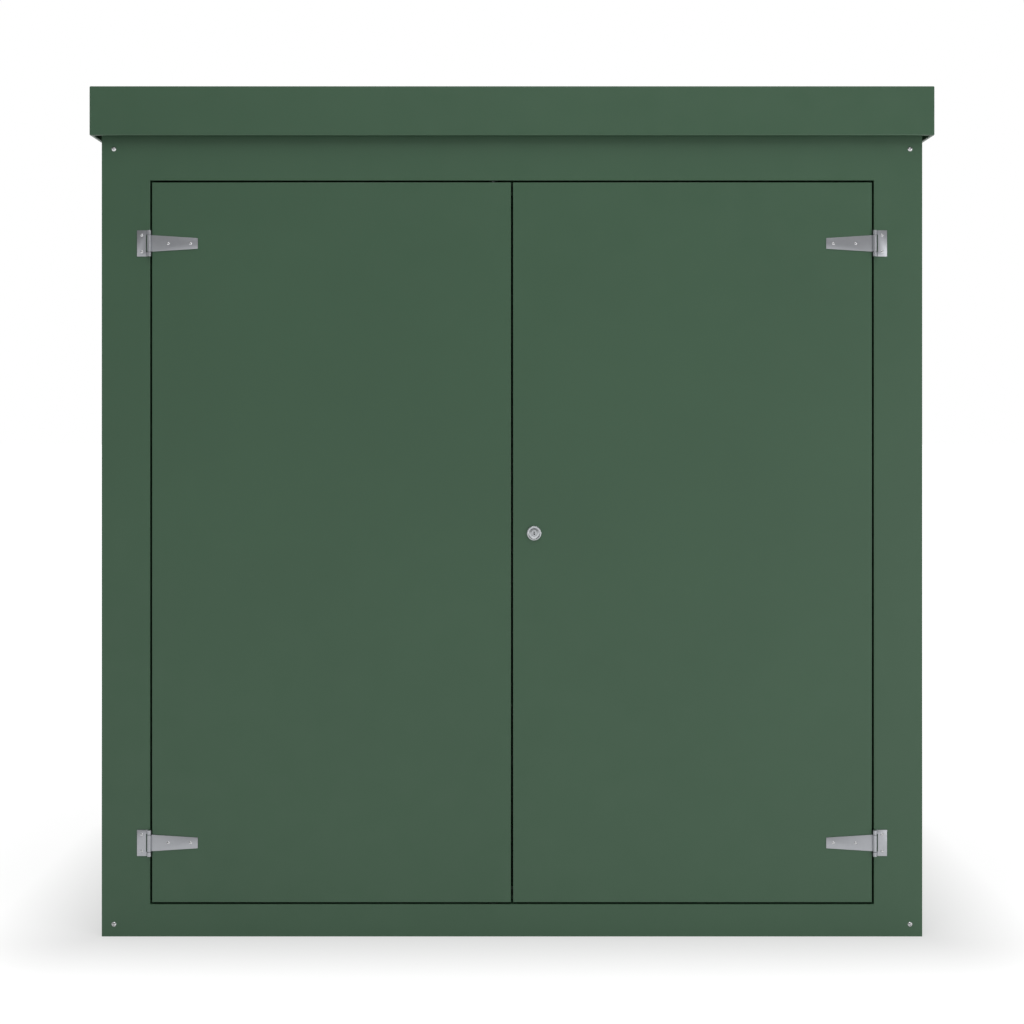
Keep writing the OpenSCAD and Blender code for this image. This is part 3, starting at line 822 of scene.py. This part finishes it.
def hinges():
    """The four tee hinges: straps on the leaves, and plates and pins on the frame."""
    for side, name in ((LEFT, "left"), (RIGHT, "right")):
        strap = put_at_hinges(hinge_strap(), side)
        piece(name + "_strap_sheets", strap, [HINGE], leaf_body[side],
              [name + "_hinge_straps"])
    plates, pins = bmesh.new(), bmesh.new()
    for side in (LEFT, RIGHT):
        for whole, part in ((plates, hinge_plate()), (pins, hinge_pin())):
            placed = put_at_hinges(part, side)
            bmesh.ops.recalc_face_normals(placed, faces=placed.faces)
            merge(whole, placed)
    piece("hinge_plate_sheets", plates, [HINGE], "enclosure", ["hinge_plates"])
    piece("hinge_pin_rods", pins, [HINGE], "enclosure", ["hinge_pins"])


def hinge_pin():
    """A pin with a small chamfer at each end."""
    bm = bmesh.new()
    chamfer = 0.4 * MM
    add_lathe(bm, [
        (0, -PLATE_HALF), (PIN_R - chamfer, -PLATE_HALF), (PIN_R, chamfer - PLATE_HALF),
        (PIN_R, PLATE_HALF - chamfer), (PIN_R - chamfer, PLATE_HALF), (0, PLATE_HALF)], 24)
    smooth_by_angle(bm)
    return bm


# ---- Screws ---------------------------------------------------------------------------------

# The radius and height of each kind of head
PANEL_HEAD, HINGE_HEAD, SMALL_HEAD = (6 * MM, 3.5 * MM), (3.8 * MM, 2 * MM), (3 * MM, 1.4 * MM)


def screws():
    """Every screw head, set by one tree, as separate meshes for each kind and body."""
    panel_head = screw_head(
        "panel_screw_head", PANEL_HEAD, 0.5 * MM, 32, hexagon(2.3 * MM), 0.2)
    hinge_head = screw_head(
        "hinge_screw_head", HINGE_HEAD, 0.3 * MM, 28, cross(2.1 * MM, 1.1 * MM), 0.45)
    small_head = screw_head(
        "small_screw_head", SMALL_HEAD, 0.3 * MM, 28, cross(1.7 * MM, 0.9 * MM), 0.45)
    low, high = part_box("panel_screws")
    inset, rise = PANEL_HEAD
    panel = [
        (Vector((x, y, z)), out)
        for z in (low.z + inset, high.z - inset) for x in (low.x + inset, high.x - inset)
        for y, out in ((low.y + rise, TO_FRONT), (high.y - rise, TO_BACK))]
    set_heads("panel_screw_heads", panel, panel_head, "enclosure", ["panel_screws"])

    sheet_y = front_y - SHEET
    low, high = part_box("hinge_plate_screws")
    inset = HINGE_HEAD[0]
    half = (high.z - low.z - (HINGE_HEIGHTS[1] - HINGE_HEIGHTS[0])) / 2 - inset
    fixed = [
        (Vector((x, sheet_y, height + up * half)), TO_FRONT)
        for x in (low.x + inset, high.x - inset) for height in HINGE_HEIGHTS for up in (-1, 1)]
    set_heads("plate_screw_heads", fixed, hinge_head, "enclosure", ["hinge_plate_screws"])
    for side, name in ((LEFT, "left"), (RIGHT, "right")):
        low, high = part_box(name + "_strap_screws")
        swung = [
            (Vector((x, sheet_y, height)), TO_FRONT)
            for x in (low.x + inset, high.x - inset) for height in HINGE_HEIGHTS]
        set_heads(name + "_strap_screw_heads", swung, hinge_head, leaf_body[side],
                  [name + "_strap_screws"])

    set_heads("bolt_plate_screw_heads", bolt_plate_screws(), small_head, "left_leaf")
    set_heads("base_angle_screw_heads", base_angle_screws(), panel_head, "enclosure")
    for head in (panel_head, hinge_head, small_head):
        bpy.data.objects.remove(head)


def bolt_plate_screws():
    """The screws of the bolts' plates and the lock's keep, on the left leaf's inner skin."""
    low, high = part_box("flush_bolts")
    middle = (low.x + high.x) / 2
    skin_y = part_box("left_door_lining")[1].y
    inner, outer = BOLT_PLATE_IN + 10 * MM, BOLT_PLATE_IN + BOLT_PLATE_H - 10 * MM
    edge_low, edge_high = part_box("left_door")[0].z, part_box("left_door")[1].z
    heights = [edge_low + d for d in (inner, outer)] + [edge_high - d for d in (inner, outer)]
    places = [(Vector((middle, skin_y + BOLT_PLATE_T, z)), TO_BACK) for z in heights]
    low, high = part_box("lock_keep")
    middle = (low.x + high.x) / 2
    places += [(Vector((middle, high.y, z)), TO_BACK) for z in (low.z + 9 * MM, high.z - 9 * MM)]
    return places


def base_angle_screws():
    """The screws through the upright legs of the base angles, about 400 mm apart."""
    spacing, height, leg = 400 * MM, 38 * MM, 6 * MM
    places = []
    for node, side in (("base_angle_left", LEFT), ("base_angle_right", RIGHT)):
        low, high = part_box(node)
        x = low.x + leg if side == LEFT else high.x - leg
        places += [(Vector((x, y, height)), Vector((-side, 0, 0)))
                   for y in spread(low.y, high.y, spacing)]
    for node, end in (("base_angle_front", -1), ("base_angle_back", 1)):
        low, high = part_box(node)
        y = low.y + leg if end < 0 else high.y - leg
        places += [(Vector((x, y, height)), Vector((0, -end, 0)))
                   for x in spread(low.x, high.x, spacing)]
    return places


def spread(low, high, spacing):
    """Places along a run, evenly apart and half a space from its ends."""
    count = round((high - low) / spacing)
    return [low + (high - low) * (i + 0.5) / count for i in range(count)]


def set_heads(name, places, head, body, nodes=()):
    """Sets a head at each place, as one piece."""
    grown = grow(name, points_mesh(name, places), HEADS, {
        "Head": head, "Most Turn": math.pi, "Seed": SEED, "Finish": SCREW})
    settle(grown, [SCREW], body, nodes)


# ---- Lock -----------------------------------------------------------------------------------

RIM_R, RIM_H, RING_W, DISH_DEPTH = 18 * MM, 5 * MM, 4.4 * MM, 1.2 * MM
BARREL_R, PLUG_R = 11 * MM, 8 * MM
barrel_end = front_y - lock_high.y
plug_low, plug_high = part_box("lock_plug")


def lock():
    """The key lock through the right leaf, and the keep on the left leaf that its cam meets."""
    lock_body()
    lock_plug()
    lock_thread()
    lock_nut()
    bm = cad_copy("lock_cam")
    round_edges(bm, STAMPED_BREAK, 2, least_angle=60)
    piece("lock_cam_pressed", bm, [BOLT], "right_leaf", ["lock_cam"])
    bm = cad_copy("lock_keep")
    round_edges(bm, 1.0 * MM, 3)
    piece("lock_keep_pressed", bm, [BOLT], "left_leaf", ["lock_keep"])


def lock_body():
    """The turned rim with its dished face, and the barrel behind it."""
    bm = bmesh.new()
    bore = PLUG_R + 0.05 * MM
    dish_r = RIM_R - RING_W
    soft = 1.3 * MM
    turns = [math.radians(15 * i) for i in range(7)]
    outer = [(RIM_R - soft + soft * math.cos(t), RIM_H - soft + soft * math.sin(t))
             for t in turns]
    lip = 0.5 * MM
    # The barrel is cut down for its thread from the nut's outer face to its end.
    root, thread_start = BARREL_R - 0.6 * MM, -51 * MM
    profile = [(bore, barrel_end), (root, barrel_end), (root, thread_start),
               (BARREL_R, thread_start + 0.5 * MM), (BARREL_R, 0),
               (RIM_R - 0.3 * MM, 0), (RIM_R, 0.3 * MM)]
    profile += outer
    profile += [(dish_r + lip, RIM_H), (dish_r + 0.15 * MM, RIM_H - 0.15 * MM),
                (dish_r, RIM_H - lip), (dish_r, RIM_H - DISH_DEPTH - 0.1 * MM),
                (dish_r - 0.6 * MM, RIM_H - DISH_DEPTH - 0.5 * MM),
                (bore + 0.3 * MM, RIM_H - DISH_DEPTH), (bore, RIM_H - DISH_DEPTH - 0.2 * MM)]
    verts = add_lathe(bm, profile, 64, closed=True)
    turn_to_front(bm, verts, lock_centre)
    smooth_by_angle(bm, 32)
    piece("lock_body", bm, [NICKEL], "right_leaf", ["lock_case"])


def lock_plug():
    """The turned plug, with a key slot deep enough to look dark."""
    bm = bmesh.new()
    face, back = front_y - plug_low.y, front_y - plug_high.y
    verts = add_lathe(bm, [
        (0, back), (PLUG_R, back), (PLUG_R, face - 0.4 * MM), (PLUG_R - 0.4 * MM, face),
        (0, face)], 48)
    turn_to_front(bm, verts, lock_centre)
    tool = bmesh.new()
    half_w, half_h, depth = 1.3 * MM, 4.75 * MM, 30 * MM
    add_box(tool, Vector((lock_centre.x - half_w, plug_low.y - depth, lock_centre.z - half_h)),
            Vector((lock_centre.x + half_w, plug_low.y + depth, lock_centre.z + half_h)))
    shaped = cut_out("lock_plug_turned", bm, tool)
    smooth_by_angle(shaped)
    piece("lock_plug_turned", shaped, [NICKEL], "right_leaf", ["lock_plug"])


def lock_thread():
    """The thread on the end of the barrel, behind the nut."""
    ridge = bpy.data.meshes.new("thread_start")
    thread = grow("lock_thread", ridge, THREAD, {
        "Radius": BARREL_R - 0.7 * MM, "Length": 3.2 * MM, "Pitch": 0.8 * MM, "Finish": NICKEL})
    place = Matrix.Translation(lock_centre) @ Matrix.Rotation(math.radians(90), 4, "X")
    thread.data.transform(place @ Matrix.Translation((0, 0, barrel_end + 0.4 * MM)))
    settle(thread, [NICKEL], "right_leaf")


def lock_nut():
    """The hexagon nut that holds the lock in the leaf."""
    low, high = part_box("lock_nut")
    bm = bmesh.new()
    add_prism(bm, hexagon((high.x - low.x) / 2), 0, high.y - low.y)
    round_edges(bm, 0.7 * MM, 2)
    tool = bmesh.new()
    add_lathe(tool, [(0, -MM), (BARREL_R + 0.05 * MM, -MM), (BARREL_R + 0.05 * MM, 20 * MM),
                     (0, 20 * MM)], 48)
    shaped = cut_out("lock_nut_milled", bm, tool)
    turn_to_front(shaped, shaped.verts, Vector((lock_centre.x, high.y, lock_centre.z)))
    smooth_by_angle(shaped, 25)
    piece("lock_nut_milled", shaped, [BOLT], "right_leaf", ["lock_nut"])


# ---- Bolts ----------------------------------------------------------------------------------

BOLT_PLATE_IN, BOLT_PLATE_H, BOLT_PLATE_T = 40 * MM, 140 * MM, 2 * MM
ROD_R, ROD_LENGTH, ROD_NOSE = 5 * MM, 30 * MM, 3 * MM
KNOB_R, KNOB_H, NECK_R = 5.5 * MM, 11 * MM, 3.3 * MM


def bolts():
    """The left leaf's two bolts: a plate with a turned thumb knob on the inner skin, and the
    nose of a rod in the leaf's edge."""
    low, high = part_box("flush_bolts")
    middle = (low.x + high.x) / 2
    rod_y = front_y + (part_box("left_door")[1].y - front_y) / 2
    skin_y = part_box("left_door_lining")[1].y
    door_low, door_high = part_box("left_door")
    soft = 0.6 * MM
    knob = [(0, 0), (NECK_R, 0), (NECK_R, KNOB_H / 2 - soft), (KNOB_R - soft, KNOB_H / 2)]
    for i in range(4):
        groove = KNOB_H / 2 + (0.6 + i * 1.1) * MM
        knob += [(KNOB_R, groove), (KNOB_R, groove + 0.5 * MM),
                 (KNOB_R - 0.35 * MM, groove + 0.75 * MM)]
    knob += [(KNOB_R - soft, KNOB_H), (0, KNOB_H)]
    rod = [(0, -ROD_LENGTH), (ROD_R, -ROD_LENGTH), (ROD_R, ROD_NOSE - 1.6 * MM),
           (ROD_R - 0.5 * MM, ROD_NOSE - 0.6 * MM), (ROD_R - 1.6 * MM, ROD_NOSE), (0, ROD_NOSE)]
    rods, plates = bmesh.new(), bmesh.new()
    for up, edge in ((1, door_high.z), (-1, door_low.z)):
        verts = add_lathe(rods, rod, 32)
        bmesh.ops.transform(rods, verts=verts, matrix=Matrix.Translation((middle, rod_y, edge))
                            @ Matrix.Diagonal((1, 1, up, 1)))
        near, far = edge - up * BOLT_PLATE_IN, edge - up * (BOLT_PLATE_IN + BOLT_PLATE_H)
        add_box(plates, Vector((low.x, skin_y, min(near, far))),
                Vector((high.x, skin_y + BOLT_PLATE_T, max(near, far))))
        verts = add_lathe(rods, knob, 32)
        bmesh.ops.transform(rods, verts=verts, matrix=Matrix.Translation((
            middle, skin_y + BOLT_PLATE_T, (near + far) / 2))
            @ Matrix.Rotation(math.radians(-90), 4, "X"))
    round_edges(plates, 0.5 * MM, 2)
    smooth_by_angle(rods)
    merge(rods, plates)
    piece("flush_bolt_fittings", rods, [BOLT], "left_leaf", ["flush_bolts"])
    bm = cad_copy("bolt_keeps")
    round_edges(bm, PLATE_BREAK, 2, least_angle=60)
    piece("bolt_keep_plates", bm, [BOLT], "enclosure", ["bolt_keeps"])


def enclosure():
    """Every piece of the object."""
    front_frame()
    door_stops()
    seal()
    walls()
    roof()
    inner_skins()
    sealant_beads()
    door_leaves()
    hinges()
    screws()
    lock()
    bolts()


# ---- Stage ----------------------------------------------------------------------------------

# Metres from the walls to where the drawn contact shadow ends, and to where the glow is full
SHADOW_REACH, GLOW_FULL = 0.31, 2.6
# The floor's glow at the walls and at the shadow's end
GLOW_NEAR, GLOW_CLEAR = 0.59, 0.86
# How far in under the walls the glow reaches
GLOW_UNDER = 20 * MM
# Half the side of the floor, in metres
FLOOR_HALF = 60
# How pale the floor is where it is seen, and where it throws light back
FLOOR_SHOWN, FLOOR_WHITE = 0.25, 0.8
# The light from all round, and how bright the room in front looks in a gloss
AMBIENT, ROOM_LEVEL = 0.55, 0.2
# Name, place, target, width and height, watts
LAMPS = [
    ("overhead", (0.3, -2.6, 4.5), (0, 0, 0.5), (3.5, 2.5), 50),
    ("right_softbox", (3.9, -3.9, 0.9), (0.2, -0.4, 0.8), (2.2, 2.0), 38),
]
# The camera's lens and sensor in millimetres, its distance from the front, its height, and the
# height of the middle of the frame
LENS, SENSOR = 60.8, 36.0
CAMERA_BACK, CAMERA_HEIGHT, FRAME_MIDDLE = 4.3, 1.31, 1.0554


def add_floor():
    """A white floor. Its glow fades towards the walls, which draws most of the contact shadow."""
    bm = bmesh.new()
    bmesh.ops.create_grid(bm, x_segments=1, y_segments=1, size=FLOOR_HALF)
    floor = as_object("floor", bm)
    material = bpy.data.materials.new("white_floor")
    material.use_nodes = True
    tree = material.node_tree
    tree.nodes.clear()
    seen = add(tree, "ShaderNodeLightPath").outputs
    spot = add(tree, "ShaderNodeTexCoord").outputs["Object"]
    # The lamps' own shadow barely shows on a floor that glows white. So the glow falls off towards
    # the walls, and that falloff draws most of the contact shadow. There is no glow under the
    # building, where the ground is lit only through the doorway.
    parts = add(tree, "ShaderNodeSeparateXYZ", {0: spot}).outputs
    beyond = []
    for axis, half in (("X", -stile_low.x), ("Y", -front_y)):
        away = add(tree, "ShaderNodeMath", {0: parts[axis]}, operation="ABSOLUTE")
        beyond.append(add(tree, "ShaderNodeMath", {
            0: away.outputs[0], 1: half}, operation="SUBTRACT").outputs[0])
    reach = [add(tree, "ShaderNodeMath", {0: b, 1: 0.0}, operation="MAXIMUM").outputs[0]
             for b in beyond]
    flat = add(tree, "ShaderNodeCombineXYZ", {"X": reach[0], "Y": reach[1]})
    away = add(tree, "ShaderNodeVectorMath", {0: flat.outputs[0]}, operation="LENGTH")
    contact = add(tree, "ShaderNodeMapRange", {
        "Value": away.outputs[1], "From Max": SHADOW_REACH,
        "To Min": GLOW_NEAR, "To Max": GLOW_CLEAR})
    clear = add(tree, "ShaderNodeMapRange", {
        "Value": away.outputs[1], "From Min": SHADOW_REACH, "From Max": GLOW_FULL,
        "To Min": 0.0, "To Max": 1.0 - GLOW_CLEAR})
    falloff = add(tree, "ShaderNodeMath", {0: contact.outputs[0], 1: clear.outputs[0]})
    outermost = add(tree, "ShaderNodeMath", {0: beyond[0], 1: beyond[1]}, operation="MAXIMUM")
    outside = add(tree, "ShaderNodeMath", {
        0: outermost.outputs[0], 1: -GLOW_UNDER}, operation="GREATER_THAN")
    level = add(tree, "ShaderNodeMath", {
        0: outside.outputs[0], 1: falloff.outputs[0]}, operation="MULTIPLY")
    glow = add(tree, "ShaderNodeEmission", {"Strength": level.outputs[0]})
    shown_matt = add(tree, "ShaderNodeBsdfDiffuse", {"Color": (FLOOR_SHOWN,) * 3 + (1,)})
    shown = add(tree, "ShaderNodeAddShader", {0: glow.outputs[0], 1: shown_matt.outputs[0]})
    matt = add(tree, "ShaderNodeBsdfDiffuse", {"Color": (FLOOR_WHITE,) * 3 + (1,)})
    direct = add(tree, "ShaderNodeMath", {
        0: seen["Is Camera Ray"], 1: seen["Is Glossy Ray"]}, operation="MAXIMUM")
    direct = add(tree, "ShaderNodeMath", {
        0: direct.outputs[0], 1: seen["Is Transmission Ray"]}, operation="MAXIMUM")
    both = add(tree, "ShaderNodeMixShader", {
        0: direct.outputs[0], 1: matt.outputs[0], 2: shown.outputs[0]})
    add(tree, "ShaderNodeOutputMaterial", {"Surface": both.outputs[0]})
    floor.data.materials.append(material)


def add_surroundings():
    """A white surround, which is dimmer in front of the object where a gloss shows it."""
    world = bpy.data.worlds.new("studio")
    world.use_nodes = True
    bpy.context.scene.world = world
    tree = world.node_tree
    tree.nodes.clear()
    seen = add(tree, "ShaderNodeLightPath").outputs
    way = add(tree, "ShaderNodeTexCoord").outputs["Generated"]
    parts = add(tree, "ShaderNodeSeparateXYZ", {0: way}).outputs
    behind = add(tree, "ShaderNodeMapRange", {
        "Value": parts["Y"], "From Min": -0.6, "From Max": 0.3,
        "To Min": ROOM_LEVEL, "To Max": 1.0}, interpolation_type="SMOOTHSTEP")
    gloss = add(tree, "ShaderNodeMix", {
        0: seen["Is Glossy Ray"], 2: AMBIENT, 3: behind.outputs[0]})
    plain = add(tree, "ShaderNodeMath", {
        0: seen["Is Camera Ray"], 1: seen["Is Transmission Ray"]}, operation="MAXIMUM")
    strength = add(tree, "ShaderNodeMix", {0: plain.outputs[0], 2: gloss.outputs[0], 3: 1.0})
    sky = add(tree, "ShaderNodeBackground", {
        "Color": (1, 1, 1, 1), "Strength": strength.outputs[0]})
    add(tree, "ShaderNodeOutputWorld", {"Surface": sky.outputs[0]})


def add_lamps():
    """Two large soft lamps at a plain level."""
    for name, place, target, size, watts in LAMPS:
        lamp = bpy.data.lights.new(name, "AREA")
        lamp.shape = "RECTANGLE"
        lamp.size, lamp.size_y = size
        lamp.energy = watts
        holder = bpy.data.objects.new(name, lamp)
        holder.location = place
        holder.rotation_euler = (Vector(target) - Vector(place)).to_track_quat("-Z", "Y").to_euler()
        bpy.context.scene.collection.objects.link(holder)


def add_camera():
    """A level camera in front, shifted so that the upright edges stay upright."""
    camera = bpy.data.objects.new("camera", bpy.data.cameras.new("camera"))
    camera.data.lens = LENS
    camera.data.sensor_width = SENSOR
    camera.location = (0, front_y - CAMERA_BACK, CAMERA_HEIGHT)
    camera.rotation_euler = (math.radians(90), 0, 0)
    shown_width = CAMERA_BACK * SENSOR / LENS
    camera.data.shift_y = (FRAME_MIDDLE - CAMERA_HEIGHT) / shown_width
    bpy.context.scene.collection.objects.link(camera)
    bpy.context.scene.camera = camera
    bpy.context.scene.view_settings.view_transform = "Standard"


enclosure()
add_floor()
add_surroundings()
add_lamps()
add_camera()
